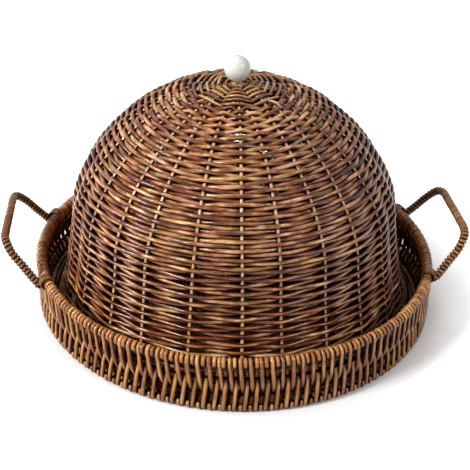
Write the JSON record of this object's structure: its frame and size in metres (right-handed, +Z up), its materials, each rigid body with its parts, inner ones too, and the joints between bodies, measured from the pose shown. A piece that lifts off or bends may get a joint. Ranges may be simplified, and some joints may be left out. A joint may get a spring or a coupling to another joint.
{
  "type": "lidded woven basket",
  "caption": "Round rattan tray with a wrapped rim and two stiff bound handles, and a tall woven dome lid with a white ball knob that lifts off it.",
  "frame": {"origin": "middle of the tray's underside, on the surface that it stands on", "axes": "+Z up along the dome's axis and the way the lid lifts, +X from the middle to the right handle, +Y to the back"},
  "size_m": [0.4564, 0.3996, 0.255],
  "materials": {
    "dome_rattan": "stained and lightly varnished round rattan",
    "wall_rattan": "stained and lightly varnished round rattan",
    "floor_rattan": "stained round rattan",
    "wrap_rattan": "stained and lightly varnished split rattan",
    "stake_cane": "pale stained cane",
    "core_cane": "plain cane, hidden",
    "knob_glaze": "smooth off-white glaze",
    "screw_steel": "plain zinc-plated"
  },
  "bodies": {
    "tray": {"tray_floor_weave": "floor_rattan", "floor_centre_cross": "stake_cane", "floor_spoke_1": "stake_cane", "floor_spoke_2": "stake_cane", "floor_spoke_3": "stake_cane", "floor_spoke_4": "stake_cane", "floor_spoke_5": "stake_cane", "floor_spoke_6": "stake_cane", "floor_spoke_7": "stake_cane", "floor_spoke_8": "stake_cane", "tray_wall_weave": "wall_rattan", "rim_core": "core_cane", "wall_ring_upper": "core_cane", "wall_ring_lower": "core_cane", "base_ring": "core_cane", "handle_right_wrap": "wrap_rattan", "handle_right_core": "core_cane", "handle_left_wrap": "wrap_rattan", "handle_left_core": "core_cane", "lashing_right_front": "wrap_rattan", "lashing_right_back": "wrap_rattan", "lashing_left_front": "wrap_rattan", "lashing_left_back": "wrap_rattan"},
    "lid": {"dome_weave": "dome_rattan", "dome_hoop": "wrap_rattan", "dome_stake_01": "stake_cane", "dome_stake_02": "stake_cane", "dome_stake_03": "stake_cane", "dome_stake_04": "stake_cane", "dome_stake_05": "stake_cane", "dome_stake_06": "stake_cane", "dome_stake_07": "stake_cane", "dome_stake_08": "stake_cane", "dome_stake_09": "stake_cane", "dome_stake_10": "stake_cane", "dome_stake_11": "stake_cane", "dome_stake_12": "stake_cane", "dome_stake_13": "stake_cane", "dome_stake_14": "stake_cane", "dome_stake_15": "stake_cane", "dome_stake_16": "stake_cane", "dome_stake_17": "stake_cane", "dome_stake_18": "stake_cane", "dome_stake_19": "stake_cane", "dome_stake_20": "stake_cane", "dome_stake_21": "stake_cane", "dome_stake_22": "stake_cane", "dome_stake_23": "stake_cane", "dome_stake_24": "stake_cane", "crown_weave": "dome_rattan", "crown_cross": "stake_cane", "knob_ball": "knob_glaze", "knob_screw": "screw_steel", "knob_washer": "screw_steel"}
  },
  "joints": [
    {"name": "lid_lift", "type": "slide", "parent": "tray", "child": "lid", "axis": [0, 0, 1], "range_m": [0, 0.15]}
  ]
}
